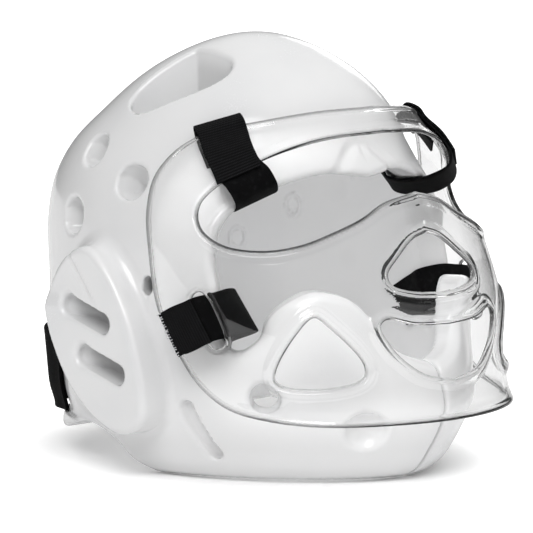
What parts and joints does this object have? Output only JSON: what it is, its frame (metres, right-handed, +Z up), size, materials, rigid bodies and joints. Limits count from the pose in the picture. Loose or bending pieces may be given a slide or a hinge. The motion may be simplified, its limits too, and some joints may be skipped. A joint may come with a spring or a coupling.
{
  "type": "karate headgear with a clear face shield",
  "caption": "White dipped-foam martial arts helmet, open at face and neck, with ear cups, vents and a clear vented face shield held by black webbing straps.",
  "frame": {"origin": "centre of the bounding box on the surface that the jaw stands on", "axes": "+Z up, the wearer looks along -Y, the wearer's right is -X"},
  "size_m": [0.256, 0.308, 0.257],
  "materials": {
    "dipped_foam": "closed-cell foam under a smooth, slightly glossy white vinyl skin",
    "clear_plastic": "clear moulded polycarbonate with rolled edges",
    "webbing": "black ribbed hook-and-loop webbing"
  },
  "bodies": {
    "root": {"foam_helmet": "dipped_foam", "face_shield": "clear_plastic", "nape_band": "webbing", "brow_strap_right": "webbing", "brow_strap_left": "webbing", "brow_tab_right": "webbing", "brow_tab_left": "webbing", "cheek_strap_right": "webbing", "cheek_strap_left": "webbing", "cheek_tab_right": "webbing", "cheek_tab_left": "webbing"}
  },
  "joints": []
}
